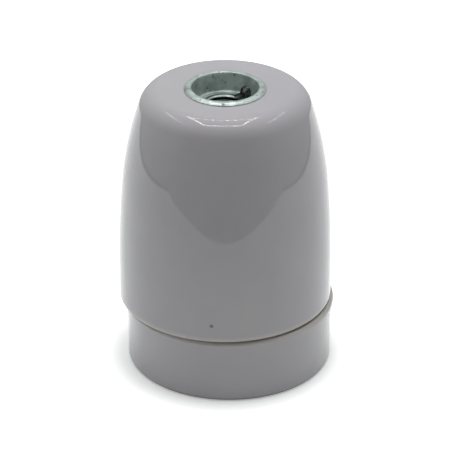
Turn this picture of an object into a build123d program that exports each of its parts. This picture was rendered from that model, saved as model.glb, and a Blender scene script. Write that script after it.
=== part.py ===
from build123d import *
import math
import os

# Porcelain holder for a lamp with a 27 mm screw cap, in millimetres.
# It stands on its mouth at Z = 0. The Z axis is the common axis of the lamp, the thread and the dome.

# Screw shell for the lamp's 27 mm cap, pressed from sheet. It sets the size of all that lies round it.
shell_minor_radius = 12.15
shell_thread_depth = 1.15
shell_wall = 0.35
shell_pitch = 3.629
shell_turns = 4.0
shell_crest_width = 1.0
shell_root_width = 3.0
shell_length = 20.0
shell_opening_radius = 7.4
lug_width = 3.0
lug_height = 2.0
lug_distance = 9.7
lug_clearance = 0.3

# Inside of the base
shell_clearance = 0.65
mouth_chamfer = 1.0
pocket_depth = 27.0
floor_thickness = 4.0
barrel_wall = 2.9
barrel_length = 16.3
barrel_chamfer = 0.8

# Coarse porcelain thread between the dome and the base
thread_pitch = 4.0
thread_turns = 2.5
thread_root_width = 2.4
thread_crest_width = 1.0
barrel_thread_depth = 2.0
dome_thread_depth = 1.7
thread_clearance = 0.9
thread_start = 1.6
ridge_sink = 0.3

# Terminal platform on the porcelain floor
platform_step = 1.0
platform_drop = 1.2
bay_clearance = 0.3

# Dome
dome_wall = 3.35
wiring_room = 17.4
crown_thickness = 7.0
belly_radius = 220.0
belly_angle = 5.1
shoulder_radius = 80.0
shoulder_angle = 13.5
crown_round = 5.0
rim_round = 0.7
ceiling_round = 3.0

# Outside band of the base, which left the kiln off the axis of its own barrel
band_offset = 0.9
band_step = 0.8
lip_step = 0.25
foot_round = 0.8
flare_height = 8.2
lip_round = 0.8
seam_gap = 0.35

# Centre contact, a sprung strip held near one end
strip_thickness = 0.5
strip_width = 5.0
strip_play = 0.35
strip_hole_clearance = 0.2
foot_length = 4.0
tongue_angle = 30.0
tongue_length = 6.2
tip_length = 3.4
strip_bend_radius = 1.2

# Screws that hold the contacts, threaded into the terminal blocks
post_screw_radius = 1.5
post_screw_clearance = 0.05
post_screw_bite = 1.7
post_head_radius = 2.3
post_head_height = 1.2
porcelain_hole_clearance = 0.25
contact_screw_x = -5.0
shell_screw_x = 9.7

# Terminal blocks
block_length = 8.0
block_width = 7.0
block_height = 9.0
block_chamfer = 0.4
chamber_width = 4.8
chamber_height = 4.2
chamber_floor = 2.2
live_block_x = -6.9
neutral_block_x = 8.0

# Clamp screws and pressure plates
clamp_screw_radius = 1.75
clamp_screw_clearance = 0.3
clamp_travel = 2.0
clamp_head_radius = 3.0
clamp_head_height = 2.0
head_chamfer = 0.3
slot_width = 0.8
slot_depth = 1.0
plate_thickness = 0.9
plate_clearance = 0.3
tip_gap = 0.1

# Entry bush in the crown, with a cup above the bore for the tube
bush_radius = 7.9
bush_clearance = 0.2
bush_projection = 1.3
flange_width = 0.95
flange_thickness = 0.6
flange_chamfer = 0.25
cup_wall = 0.6
cup_taper = 0.8
cup_depth = 4.1
tube_thread_minor_radius = 4.46
tube_thread_chamfer = 0.84

# Lock screw for the tube, in the bush's wall
lock_angle = 46.0
lock_depth = 3.8
lock_screw_radius = 1.5
lock_screw_clearance = 0.1
lock_screw_length = 3.0
lock_tip_radius = 5.7
lock_access_radius = 1.8

# Washer, tag and nut under the crown
washer_width = 4.1
washer_thickness = 1.0
washer_gap = 0.1
washer_clearance = 0.2
tag_thickness = 1.0
tag_ring_width = 2.7
tag_width = 6.5
tag_end = 2.4
tag_corner = 1.6
nut_wall = 1.6
nut_height = 4.5
nut_clearance = 0.05

# Earth clamp on the tag
earth_screw_radius = 1.5
earth_screw_clearance = 0.3
earth_head_radius = 2.5
earth_head_height = 1.8
earth_washer_side = 5.0
earth_washer_thickness = 1.0
earth_washer_clearance = 0.33
earth_screw_end = 0.3

# Radii that follow from the shell outwards
mouth_radius = shell_minor_radius + shell_thread_depth + shell_wall + shell_clearance
barrel_radius = mouth_radius + barrel_wall
platform_radius = barrel_radius - platform_step
dome_bore_radius = barrel_radius + barrel_thread_depth + thread_clearance
dome_radius = dome_bore_radius + dome_wall
band_radius = dome_radius - band_step
lip_radius = dome_radius - lip_step

# Heights that follow from the pocket upwards
shell_open_end = pocket_depth - shell_length
floor_top = pocket_depth + floor_thickness
band_height = floor_top - barrel_length
flare_start = band_height - flare_height
rim_height = band_height + seam_gap
platform_height = block_height - platform_drop
block_top = floor_top + block_height
chamber_bottom = floor_top + chamber_floor
chamber_top = chamber_bottom + chamber_height
plate_top = chamber_top - plate_clearance
ceiling_height = block_top + wiring_room
crown_height = ceiling_height + crown_thickness

# Heights of the bush and of what it pulls up against the ceiling
flange_top = crown_height + flange_thickness
cup_floor = flange_top - cup_depth
washer_top = ceiling_height - washer_gap
tag_top = washer_top - washer_thickness - washer_gap
nut_top = tag_top - tag_thickness
bush_end = nut_top - nut_height - bush_projection

# Radii that follow from the bush outwards
cup_radius = bush_radius - cup_wall
cup_floor_radius = cup_radius - cup_taper
flange_radius = bush_radius + flange_width
washer_radius = bush_radius + washer_width
tag_ring_radius = bush_radius + tag_ring_width
nut_flats = 2 * (bush_radius + nut_wall)
nut_corner_radius = nut_flats / 2 / math.cos(math.radians(30))
earth_screw_distance = nut_corner_radius + earth_washer_clearance + earth_washer_side / 2
tag_reach = earth_screw_distance + tag_end

# Places of the lock screw and of the terminals' bays
lock_height = flange_top - lock_depth
lock_direction = (math.cos(math.radians(lock_angle)), math.sin(math.radians(lock_angle)), 0)
lock_plane = Plane(origin=(0, 0, lock_height), x_dir=(0, 0, 1), z_dir=lock_direction)
live_bay_edge = live_block_x + block_length / 2 + bay_clearance
neutral_bay_edge = neutral_block_x - block_length / 2 - bay_clearance


def dome_outline(inset):
    """Draw the dome's side, belly and shoulder, moved inwards by inset, and return its upper end."""
    belly_rise = belly_radius * math.sin(math.radians(belly_angle))
    end_angle = math.radians(belly_angle + shoulder_angle)
    shoulder_rise = shoulder_radius * (math.sin(end_angle) - math.sin(math.radians(belly_angle)))
    crown_rise = crown_round * (1 - math.sin(end_angle))
    side_top = crown_height - belly_rise - shoulder_rise - crown_rise
    side = Line((dome_radius - inset, rim_height), (dome_radius - inset, side_top))
    belly = JernArc(side @ 1, side % 1, belly_radius - inset, belly_angle)
    return JernArc(belly @ 1, belly % 1, shoulder_radius - inset, shoulder_angle)


def helical_ridge(root_radius, crest_radius, start_height, pitch, turns, root_width, crest_width):
    """Return a trapezoidal ridge wound round Z, between the two radii and a little past its root."""
    reach = crest_radius - root_radius
    sunk = -math.copysign(ridge_sink, reach)
    with BuildPart() as ridge:
        with BuildLine() as path:
            Helix(pitch, pitch * turns, root_radius, center=(0, 0, start_height))
        start = Plane(origin=path.line @ 0, x_dir=(1, 0, 0), z_dir=path.line % 0)
        with BuildSketch(start):
            with BuildLine():
                Polyline(
                    (sunk, -root_width / 2),
                    (0, -root_width / 2),
                    (reach, -crest_width / 2),
                    (reach, crest_width / 2),
                    (0, root_width / 2),
                    (sunk, root_width / 2),
                    close=True,
                )
            make_face()
        sweep(path=path.line, is_frenet=True)
    return ridge.part


def slotted_head(radius, height, bottom, pointing_up):
    """Return a low screw head with a screwdriver slot in its free end."""
    with BuildPart() as head:
        with BuildSketch(Plane.XY.offset(bottom)):
            Circle(radius)
        extrude(amount=height)
        free_end = head.faces().sort_by(Axis.Z)[-1 if pointing_up else 0]
        chamfer(free_end.edges(), head_chamfer)
        slot_middle = bottom + height - slot_depth / 2 if pointing_up else bottom + slot_depth / 2
        with Locations((0, 0, slot_middle)):
            Box(2 * radius, slot_width, slot_depth, mode=Mode.SUBTRACT)
    return head.part


os.makedirs("parts", exist_ok=True)

# Dome: a bell with a thick crown, a bush hole and an access hole for the lock screw
with BuildPart() as dome:
    with BuildSketch(Plane.XZ):
        with BuildLine():
            shoulder = dome_outline(0)
            crown = JernArc(shoulder @ 1, shoulder % 1, crown_round, 90 - belly_angle - shoulder_angle)
            Polyline(crown @ 1, (0, crown_height), (0, rim_height), (dome_radius, rim_height))
        make_face()
    revolve(axis=Axis.Z)
    with BuildSketch(Plane.XZ):
        with BuildLine():
            inner = dome_outline(dome_wall)
            Polyline(inner @ 1, (0, (inner @ 1).Y), (0, rim_height), (dome_bore_radius, rim_height))
        make_face()
        with Locations((0, rim_height)):
            Rectangle(
                dome_radius,
                ceiling_height - rim_height,
                align=(Align.MIN, Align.MIN),
                mode=Mode.INTERSECT,
            )
        fillet(vertices().group_by(Axis.Y)[-1].sort_by(Axis.X)[-1], ceiling_round)
    revolve(axis=Axis.Z, mode=Mode.SUBTRACT)
    rim_edges = dome.edges().filter_by(GeomType.CIRCLE).group_by(Axis.Z)[0].sort_by(SortBy.RADIUS)
    fillet(rim_edges[-1], rim_round)
    with Locations((0, 0, crown_height)):
        Hole(bush_radius + bush_clearance)
    with BuildSketch(lock_plane):
        Circle(lock_access_radius)
    extrude(amount=dome_radius, mode=Mode.SUBTRACT)
    add(
        helical_ridge(
            dome_bore_radius,
            dome_bore_radius - dome_thread_depth,
            band_height + thread_start + thread_pitch / 2,
            thread_pitch,
            thread_turns,
            thread_root_width,
            thread_crest_width,
        )
    )
dome.part.label = "dome"
export_step(dome.part, "parts/dome.step")

# Socket base: the band, the threaded barrel, the floor and the terminal platform, one fired piece
band_plane = Plane(origin=(band_offset, 0, 0), x_dir=(1, 0, 0), z_dir=(0, -1, 0))
with BuildPart() as socket_base:
    with BuildSketch(band_plane):
        with BuildLine():
            foot = JernArc((band_radius - foot_round, 0), (1, 0), foot_round, 90)
            side = Line(foot @ 1, (band_radius, flare_start))
            lip_bottom = band_height - lip_round
            flare_angle = 2 * math.atan2(lip_radius - band_radius, lip_bottom - flare_start)
            flare_radius = (lip_bottom - flare_start) / math.sin(flare_angle)
            flare = JernArc(side @ 1, side % 1, flare_radius, -math.degrees(flare_angle))
            lip = JernArc(flare @ 1, (0, 1), lip_round, 90)
            Polyline(lip @ 1, (0, band_height), (0, 0), foot @ 0)
        make_face()
    revolve(axis=Axis((band_offset, 0, 0), (0, 0, 1)))
    with BuildSketch(Plane.XY.offset(band_height)):
        Circle(barrel_radius)
    extrude(amount=floor_top - band_height)
    chamfer(socket_base.faces().sort_by(Axis.Z)[-1].edges(), barrel_chamfer)
    with BuildSketch(Plane.XY.offset(floor_top)):
        Circle(platform_radius)
    extrude(amount=platform_height)
    for bay_edge, direction in ((live_bay_edge, -1), (neutral_bay_edge, 1)):
        with BuildSketch(Plane.XY.offset(floor_top)):
            with Locations((bay_edge + direction * platform_radius / 2, 0)):
                Rectangle(platform_radius, block_width + 2 * bay_clearance)
        extrude(amount=platform_height, mode=Mode.SUBTRACT)
    with BuildSketch():
        Circle(mouth_radius)
    extrude(amount=pocket_depth, mode=Mode.SUBTRACT)
    mouth = socket_base.edges().filter_by(GeomType.CIRCLE).group_by(Axis.Z)[0].sort_by(SortBy.RADIUS)[0]
    chamfer(mouth, mouth_chamfer)
    with BuildSketch(Plane.XY.offset(pocket_depth)):
        with Locations((contact_screw_x, 0), (shell_screw_x, 0)):
            Circle(post_screw_radius + porcelain_hole_clearance)
    extrude(amount=floor_thickness, mode=Mode.SUBTRACT)
    with BuildSketch(Plane.XY.offset(pocket_depth)):
        with Locations((0, lug_distance), (0, -lug_distance)):
            Rectangle(lug_width + 2 * lug_clearance, shell_wall + 2 * lug_clearance)
    extrude(amount=lug_height + lug_clearance, mode=Mode.SUBTRACT)
    add(
        helical_ridge(
            barrel_radius,
            barrel_radius + barrel_thread_depth,
            band_height + thread_start,
            thread_pitch,
            thread_turns,
            thread_root_width,
            thread_crest_width,
        )
    )
socket_base.part.label = "socket_base"
export_step(socket_base.part, "parts/socket_base.step")

# Screw shell: a drawn cup with a rolled thread, an opening for the strip and two lugs
thread_room = (shell_length - shell_pitch * shell_turns) / 2
with BuildPart() as screw_shell:
    with BuildSketch(Plane.XY.offset(shell_open_end)):
        Circle(shell_minor_radius + shell_wall)
    extrude(amount=shell_length)
    add(
        helical_ridge(
            shell_minor_radius + shell_wall,
            shell_minor_radius + shell_wall + shell_thread_depth,
            shell_open_end + thread_room,
            shell_pitch,
            shell_turns,
            shell_root_width,
            shell_crest_width + 2 * shell_wall,
        )
    )
    with BuildSketch(Plane.XY.offset(shell_open_end)):
        Circle(shell_minor_radius)
    extrude(amount=shell_length - shell_wall, mode=Mode.SUBTRACT)
    add(
        helical_ridge(
            shell_minor_radius,
            shell_minor_radius + shell_thread_depth,
            shell_open_end + thread_room,
            shell_pitch,
            shell_turns,
            shell_root_width - 2 * shell_wall,
            shell_crest_width,
        ),
        mode=Mode.SUBTRACT,
    )
    with BuildSketch(Plane.XY.offset(pocket_depth - shell_wall)):
        Circle(shell_opening_radius)
        with Locations((shell_screw_x, 0)):
            Circle(post_screw_radius + post_screw_clearance)
    extrude(amount=shell_wall, mode=Mode.SUBTRACT)
    with BuildSketch(Plane.XY.offset(pocket_depth - shell_wall)):
        with Locations((0, lug_distance), (0, -lug_distance)):
            Rectangle(lug_width, shell_wall)
    extrude(amount=shell_wall + lug_height)
screw_shell.part.label = "screw_shell"
export_step(screw_shell.part, "parts/screw_shell.step")

# Centre contact: a flat foot, a tongue that slopes down and a tip turned up towards the floor
foot_top = pocket_depth - strip_play
foot_middle = foot_top - strip_thickness / 2
with BuildPart() as centre_contact:
    with BuildSketch(Plane.XZ):
        with BuildLine() as strip_line:
            foot = Line(
                (contact_screw_x - foot_length / 2, foot_middle),
                (contact_screw_x + foot_length / 2, foot_middle),
            )
            tongue = PolarLine(foot @ 1, tongue_length, -tongue_angle)
            PolarLine(tongue @ 1, tip_length, tongue_angle / 2)
            fillet(strip_line.vertices().sort_by(Axis.X)[1:3], strip_bend_radius)
            offset(amount=strip_thickness / 2, side=Side.BOTH)
        make_face()
    extrude(amount=strip_width / 2, both=True)
    with Locations((contact_screw_x, 0, foot_top)):
        Hole(post_screw_radius + strip_hole_clearance)
centre_contact.part.label = "centre_contact"
export_step(centre_contact.part, "parts/centre_contact.step")

# Post screws: heads in the socket, shanks through the floor into the terminal blocks
strip_screw_seat = foot_top - strip_thickness - strip_play
shell_screw_seat = pocket_depth - shell_wall
for name, place, seat in (
    ("contact_screw", contact_screw_x, strip_screw_seat),
    ("shell_screw", shell_screw_x, shell_screw_seat),
):
    with BuildPart() as post_screw:
        with BuildSketch(Plane.XY.offset(seat)):
            with Locations((place, 0)):
                Circle(post_screw_radius)
        extrude(amount=floor_top + post_screw_bite - seat)
        chamfer(post_screw.faces().sort_by(Axis.Z)[-1].edges(), post_screw_radius / 4)
        with Locations((place, 0, 0)):
            add(slotted_head(post_head_radius, post_head_height, seat - post_head_height, False))
    post_screw.part.label = name
    export_step(post_screw.part, f"parts/{name}.step")

# Terminals: a brass block, a pressure plate in its wire chamber and the screw that drives the plate
for side_name, place, post_x in (
    ("live", live_block_x, contact_screw_x),
    ("neutral", neutral_block_x, shell_screw_x),
):
    with BuildPart() as block:
        with BuildSketch(Plane.XY.offset(floor_top)):
            with Locations((place, 0)):
                Rectangle(block_length, block_width)
        extrude(amount=block_height)
        chamfer(block.edges().filter_by(Axis.Z), block_chamfer)
        with Locations((place, 0, chamber_bottom + chamber_height / 2)):
            Box(block_length, chamber_width, chamber_height, mode=Mode.SUBTRACT)
        with BuildSketch(Plane.XY.offset(chamber_top)):
            with Locations((place, 0)):
                Circle(clamp_screw_radius + clamp_screw_clearance)
        extrude(amount=block_top - chamber_top, mode=Mode.SUBTRACT)
        with BuildSketch(Plane.XY.offset(floor_top)):
            with Locations((post_x, 0)):
                Circle(post_screw_radius + post_screw_clearance)
        extrude(amount=chamber_floor, mode=Mode.SUBTRACT)
    block.part.label = f"{side_name}_terminal"
    export_step(block.part, f"parts/{side_name}_terminal.step")

    with BuildPart() as plate:
        with BuildSketch(Plane.XY.offset(plate_top - plate_thickness)):
            with Locations((place, 0)):
                Rectangle(block_length - 2 * plate_clearance, chamber_width - 2 * plate_clearance)
        extrude(amount=plate_thickness)
        chamfer(plate.edges().filter_by(Axis.Z), plate_clearance)
    plate.part.label = f"{side_name}_clamp_plate"
    export_step(plate.part, f"parts/{side_name}_clamp_plate.step")

    head_bottom = block_top + clamp_travel + clamp_screw_clearance
    with BuildPart() as clamp_screw:
        with BuildSketch(Plane.XY.offset(plate_top + tip_gap)):
            with Locations((place, 0)):
                Circle(clamp_screw_radius)
        extrude(amount=head_bottom - plate_top - tip_gap)
        chamfer(clamp_screw.faces().sort_by(Axis.Z)[0].edges(), clamp_screw_radius / 4)
        with Locations((place, 0, 0)):
            add(slotted_head(clamp_head_radius, clamp_head_height, head_bottom, True))
    clamp_screw.part.label = f"{side_name}_clamp_screw"
    export_step(clamp_screw.part, f"parts/{side_name}_clamp_screw.step")

# Entry bush: a flange on the crown, a cup, and the threaded bore for the tube
with BuildPart() as entry_bush:
    with BuildSketch(Plane.XZ):
        with BuildLine():
            Polyline(
                (tube_thread_minor_radius, bush_end),
                (tube_thread_minor_radius, cup_floor - tube_thread_chamfer),
                (tube_thread_minor_radius + tube_thread_chamfer, cup_floor),
                (cup_floor_radius, cup_floor),
                (cup_radius, flange_top),
                (flange_radius, flange_top),
                (flange_radius, crown_height),
                (bush_radius, crown_height),
                (bush_radius, bush_end),
                close=True,
            )
        make_face()
    revolve(axis=Axis.Z)
    rim = entry_bush.edges().filter_by(GeomType.CIRCLE).group_by(Axis.Z)[-1]
    chamfer(rim, flange_chamfer)
    with BuildSketch(lock_plane):
        Circle(lock_screw_radius + lock_screw_clearance)
    extrude(amount=flange_radius, mode=Mode.SUBTRACT)
entry_bush.part.label = "entry_bush"
export_step(entry_bush.part, "parts/entry_bush.step")

# Lock screw: a slotted grub screw with a cone point
with BuildPart() as tube_lock_screw:
    with BuildSketch(lock_plane.offset(lock_tip_radius)):
        Circle(lock_screw_radius)
    extrude(amount=lock_screw_length)
    point = tube_lock_screw.faces().sort_by(Axis(lock_plane.origin, lock_direction))[0]
    chamfer(point.edges(), lock_screw_radius / 2)
    with BuildSketch(lock_plane.offset(lock_tip_radius + lock_screw_length)):
        Rectangle(slot_width, 2 * lock_screw_radius)
    extrude(amount=-slot_depth, mode=Mode.SUBTRACT)
tube_lock_screw.part.label = "tube_lock_screw"
export_step(tube_lock_screw.part, "parts/tube_lock_screw.step")

# Washer between the porcelain and the tag
with BuildPart() as bush_washer:
    with BuildSketch(Plane.XY.offset(washer_top - washer_thickness)):
        Circle(washer_radius)
        Circle(bush_radius + washer_clearance, mode=Mode.SUBTRACT)
    extrude(amount=washer_thickness)
bush_washer.part.label = "bush_washer"
export_step(bush_washer.part, "parts/bush_washer.step")

# Earth tag: a ring round the bush with a tongue for the earth screw, towards +Y
with BuildPart() as earth_tag:
    with BuildSketch(Plane.XY.offset(tag_top - tag_thickness)):
        Circle(tag_ring_radius)
        with Locations((0, tag_reach / 2)):
            Rectangle(tag_width, tag_reach)
        fillet(vertices().group_by(Axis.Y)[-1], tag_corner)
        Circle(bush_radius + washer_clearance, mode=Mode.SUBTRACT)
        with Locations((0, earth_screw_distance)):
            Circle(earth_screw_radius + earth_screw_clearance, mode=Mode.SUBTRACT)
    extrude(amount=tag_thickness)
earth_tag.part.label = "earth_tag"
export_step(earth_tag.part, "parts/earth_tag.step")

# Nut that pulls the bush down
with BuildPart() as bush_nut:
    with BuildSketch(Plane.XY.offset(nut_top - nut_height)):
        RegularPolygon(nut_flats / 2, 6, major_radius=False)
        Circle(bush_radius + nut_clearance, mode=Mode.SUBTRACT)
    extrude(amount=nut_height)
bush_nut.part.label = "bush_nut"
export_step(bush_nut.part, "parts/bush_nut.step")

# Earth clamp: a square washer and a screw from below
with BuildPart() as earth_clamp_washer:
    with BuildSketch(Plane.XY.offset(nut_top - earth_washer_thickness)):
        with Locations((0, earth_screw_distance)):
            Rectangle(earth_washer_side, earth_washer_side)
            Circle(earth_screw_radius + earth_screw_clearance, mode=Mode.SUBTRACT)
    extrude(amount=earth_washer_thickness)
earth_clamp_washer.part.label = "earth_clamp_washer"
export_step(earth_clamp_washer.part, "parts/earth_clamp_washer.step")

earth_head_top = nut_top - earth_washer_thickness - tip_gap
with BuildPart() as earth_screw:
    with BuildSketch(Plane.XY.offset(earth_head_top)):
        with Locations((0, earth_screw_distance)):
            Circle(earth_screw_radius)
    extrude(amount=ceiling_height - earth_screw_end - earth_head_top)
    chamfer(earth_screw.faces().sort_by(Axis.Z)[-1].edges(), earth_screw_radius / 4)
    with Locations((0, earth_screw_distance, 0)):
        add(slotted_head(earth_head_radius, earth_head_height, earth_head_top - earth_head_height, False))
earth_screw.part.label = "earth_screw"
export_step(earth_screw.part, "parts/earth_screw.step")
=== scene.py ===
import math

import bpy
import bmesh
import numpy as np
from mathutils import Matrix, Vector


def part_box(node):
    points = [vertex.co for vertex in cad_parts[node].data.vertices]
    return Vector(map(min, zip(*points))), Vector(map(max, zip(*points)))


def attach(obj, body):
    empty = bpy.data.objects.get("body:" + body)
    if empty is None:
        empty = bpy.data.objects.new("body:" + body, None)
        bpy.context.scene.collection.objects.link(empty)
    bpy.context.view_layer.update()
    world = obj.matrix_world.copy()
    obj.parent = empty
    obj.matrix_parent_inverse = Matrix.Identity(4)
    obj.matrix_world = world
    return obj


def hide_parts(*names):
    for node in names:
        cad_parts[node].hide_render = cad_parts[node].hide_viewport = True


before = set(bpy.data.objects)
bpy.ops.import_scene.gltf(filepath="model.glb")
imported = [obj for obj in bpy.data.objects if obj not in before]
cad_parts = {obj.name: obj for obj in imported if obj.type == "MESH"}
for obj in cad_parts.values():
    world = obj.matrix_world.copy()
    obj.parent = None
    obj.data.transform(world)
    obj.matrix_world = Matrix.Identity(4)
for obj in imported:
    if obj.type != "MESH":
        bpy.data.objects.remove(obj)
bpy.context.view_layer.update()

# Glazed porcelain lamp holder with a zinc-plated entry bush. Lengths are in metres.
# Every outline is a list of (radius, height) points that keeps the solid on its left.

# Sizes that come from the solids
dome_low, dome_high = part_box("dome")
base_low, base_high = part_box("socket_base")
bush_low, bush_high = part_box("entry_bush")
washer_low, washer_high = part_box("bush_washer")
nut_low, nut_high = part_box("bush_nut")
shell_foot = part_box("screw_shell")[0].z
dome_radius = dome_high.x
rim_height = dome_low.z
crown_height = dome_high.z
band_offset = (base_low.x + base_high.x) / 2
lip_radius = (base_high.x - base_low.x) / 2
platform_top = base_high.z
flange_radius = bush_high.x
flange_top = bush_high.z
bush_end = bush_low.z

# Dome
belly_radius = 0.220
belly_angle = 5.1
shoulder_radius = 0.080
shoulder_angle = 13.5
crown_round = 0.005
rim_round = 0.0007
dome_wall = 0.00335
ceiling_height = 0.0574
ceiling_round = 0.003
bush_hole_radius = 0.0081
hole_round = 0.0004
access_radius = 0.0018
access_flare = 0.0006
access_beyond = 0.0012

# Base
band_height = 0.0147
band_radius = 0.02265
foot_round = 0.0008
flare_start = 0.0065
lip_round = 0.0008
barrel_radius = 0.0172
barrel_round = 0.0008
ledge_round = 0.0004
mouth_radius = 0.0143
mouth_round = 0.001
pocket_depth = 0.027
pocket_round = 0.0008
floor_top = 0.031
platform_radius = 0.0162
platform_round = 0.0006
platform_sunk = 0.001
bay_width = 0.0076
live_bay_edge = -0.0026
neutral_bay_edge = 0.0037
post_hole_radius = 0.00175
contact_screw_x = -0.005
shell_screw_x = 0.0097

# Slow waves in the fired clay: a quarter of their greatest depth on the dome and on the band
dome_wave_depth = 0.000015
band_wave_depth = 0.000012

# Heights above the rims of thin pale glaze, which is partly a painted highlight, of bare clay and of the
# painted contact shadow at the foot, and the heights that they fade over
thin_glaze_and_highlight_reach = 0.0012
bare_rim = 0.00025
bare_foot = 0.0003
bare_fade = 0.0002
painted_shadow_height = 0.0007
painted_shadow_fade = 0.0003

# Porcelain thread: the start heights are those of each ridge's middle at +X
porcelain_pitch = 0.004
porcelain_turns = 2.5
ridge_root = 0.0024
ridge_crest = 0.001
base_ridge_start = 0.0163
base_ridge_depth = 0.0019
dome_ridge_start = 0.0183
dome_ridge_depth = 0.0016
dome_thread_top = 0.031

# Entry bush, M10 x 1 inside and M16 x 1 outside
cup_radius = 0.0073
cup_floor_radius = 0.0065
cup_floor = 0.0609
flange_thickness = flange_top - crown_height
flange_slope = 0.0006
flange_round = 0.0005
cup_round = 0.00025
tube_minor_radius = 0.00446
tube_chamfer = 0.0003
bush_radius = 0.0079
fine_pitch = 0.001
fine_depth = 0.0005
fine_start = bush_end - 0.0007
fine_turns = 13.0
fine_root = 0.00085
fine_crest = 0.0003
fine_fade = 0.2
bush_neck = crown_height - 0.0004

# Lock screw, and the holes for it in the bush and the dome
lock_angle = math.radians(46)
lock_height = 0.0612
lock_direction = Vector((math.cos(lock_angle), math.sin(lock_angle), 0))
lock_lift = Vector((0, 0, lock_height))
lock_hole_start = 0.004
lock_hole_end = 0.011
lock_hole_radius = 0.0016
lock_screw_radius = 0.0015
lock_tip_radius = 0.0057
lock_length = 0.003

# Screw shell, with the rolled thread of a 27 mm cap
shell_wall = 0.00035
shell_radius = 0.0125
shell_thread_depth = 0.0011
shell_pitch = 0.003629
shell_turns = 4.0
shell_root = 0.003
shell_opening_radius = 0.0074
lug_distance = 0.0097
lug_width = 0.003
lug_height = 0.002
lug_clearance = 0.0003

# Screws: radius, thread pitch and thread depth of each size, then radius and height of each head
post_screw = (0.0015, 0.0005, 0.0002)
clamp_screw = (0.00175, 0.0006, 0.00024)
post_head = (0.0023, 0.0012)
clamp_head = (0.003, 0.002)
earth_head = (0.0025, 0.0018)
slot_width = 0.0008
slot_depth = 0.001

# A nick in the front of the bush's flange
nick_place = (-0.0004, 0.0003 - flange_radius, flange_top - 0.0002)
nick_radius = 0.0006

# A pit in the glaze, low on the dome's front
pit_azimuth = math.radians(-97.2)
pit_height = 0.0192
pit_radius = 0.00055

# Longest steps between the points of the outlines
side_step = 0.0008
ceiling_step = 0.0007
ridge_step = 0.0002
pocket_step = 0.0012
flange_step = 0.0005
bush_step = 0.0001
bore_step = 0.00008
lock_step = 0.00007
nut_step = 0.00016
shell_step = 0.00018

# Columns of points round the turned pieces
porcelain_columns = 288
platform_columns = 192
bush_columns = 192
shell_columns = 176
nut_columns = 144
washer_columns = 144
lock_columns = 64
screw_columns = 56
rod_columns = 48

# Colours of the porcelain, of the dirty pit and pinholes, of the painted contact shadow at the foot, and of
# the painted shade in the bush's bore, which also darkens its nick
dark_glaze = (0.400, 0.388, 0.418)
light_glaze = (0.418, 0.408, 0.424)
# Pale warm glaze at the rims: partly thin glaze, partly a painted highlight where the rims catch the light
thin_glaze_and_highlight = (0.53, 0.50, 0.465)
dark_clay = (0.44, 0.42, 0.395)
light_clay = (0.52, 0.50, 0.47)
pit_dirt = (0.10, 0.095, 0.10)
# Painted contact shadow: near black round the base's foot
painted_foot_shadow = (0.07, 0.07, 0.075)
# Painted shade in the bush's bore threads; the same colour also darkens the flange's real nick
bore_shade_and_nick_colour = (0.015, 0.02, 0.019)
glaze_roughness = 0.04
clay_roughness = 0.65

# Camera: turned nowhere to the side, it looks down at the holder from the front
camera_place = (0.000177, -0.520, 0.3084)
camera_pitch = math.pi / 2 - 0.4898
camera_lens = 213.56
sensor_width = 36.0

# Light tent round the holder, and the frame of small lamps on its ceiling
tent_side = 0.246
tent_back = 0.245
tent_front = 0.130
tent_height = 0.400
opening_height = 0.26
opening_dark_reach = 0.10
opening_bright_reach = 0.32
cloth_drop = 0.001
lamps_drop = 0.002
floor_gap = 0.00005
floor_half = 3.0
seam_height = 0.006
lamps_left = -0.092
lamps_right = 0.074
lamps_near = -0.015
lamps_far = 0.235
lamp_pitch = 0.0163
lamp_side = 0.0036
lamp_reach = 0.018
edge_glow_side = 0.234
edge_glow_width = 0.014

# Strengths of the light, and of the white added to the floor near the foot, where less of it paints a darker
# shadow, and away from it
wall_glow = 0.48
front_glow = 0.56
ceiling_light = 2.86
cloth_glow = 0.45
lamp_glow = 42.0
edge_glow = 9.0
floor_white_in_painted_shadow = 0.30
floor_white_far = 0.74
painted_shadow_spread = 1.3
world_light = 0.3


def divided(points, step):
    """The same open line, with its straight pieces divided so that no two points are over step apart."""
    points = np.asarray(points, float)
    length = np.concatenate([[0.0], np.cumsum(np.linalg.norm(np.diff(points, axis=0), axis=1))])
    counts = np.maximum(1, np.ceil(np.diff(length) / step)).astype(int)
    order = np.arange(counts.sum()) - np.repeat(np.cumsum(counts) - counts, counts)
    at = np.repeat(length[:-1], counts) + order * np.repeat(np.diff(length) / counts, counts)
    at = np.append(at, length[-1])
    return np.stack([np.interp(at, length, points[:, 0]), np.interp(at, length, points[:, 1])], axis=1)


def bend(start, heading, radius, turn, points):
    """Arc of an outline: it leaves start along heading and turns by turn degrees, to the left if positive."""
    side = math.copysign(1.0, turn)
    across = math.radians(heading) + side * math.pi / 2
    centre = np.asarray(start) + radius * np.array([math.cos(across), math.sin(across)])
    angles = across + math.pi + np.linspace(0.0, math.radians(turn), points)
    return centre + radius * np.stack([np.cos(angles), np.sin(angles)], axis=1)


def rounded(corners, points=5):
    """Open outline through (radius, height, round) corners, each corner with an arc of its own radius."""
    pieces = [np.array([corners[0][:2]])]
    for before, corner, after in zip(corners, corners[1:], corners[2:]):
        here = np.array(corner[:2])
        back = np.array(before[:2]) - here
        ahead = np.array(after[:2]) - here
        back /= np.linalg.norm(back)
        ahead /= np.linalg.norm(ahead)
        turn = math.pi - math.acos(np.clip(back @ ahead, -1, 1))
        if corner[2] > 0 and turn > 0:
            left = math.copysign(1.0, ahead[0] * back[1] - ahead[1] * back[0])
            start = here + back * corner[2] * math.tan(turn / 2)
            heading = math.degrees(math.atan2(-back[1], -back[0]))
            pieces.append(bend(start, heading, corner[2], left * math.degrees(turn), points))
        else:
            pieces.append(here[None])
    pieces.append(np.array([corners[-1][:2]]))
    return np.vstack(pieces)


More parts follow.
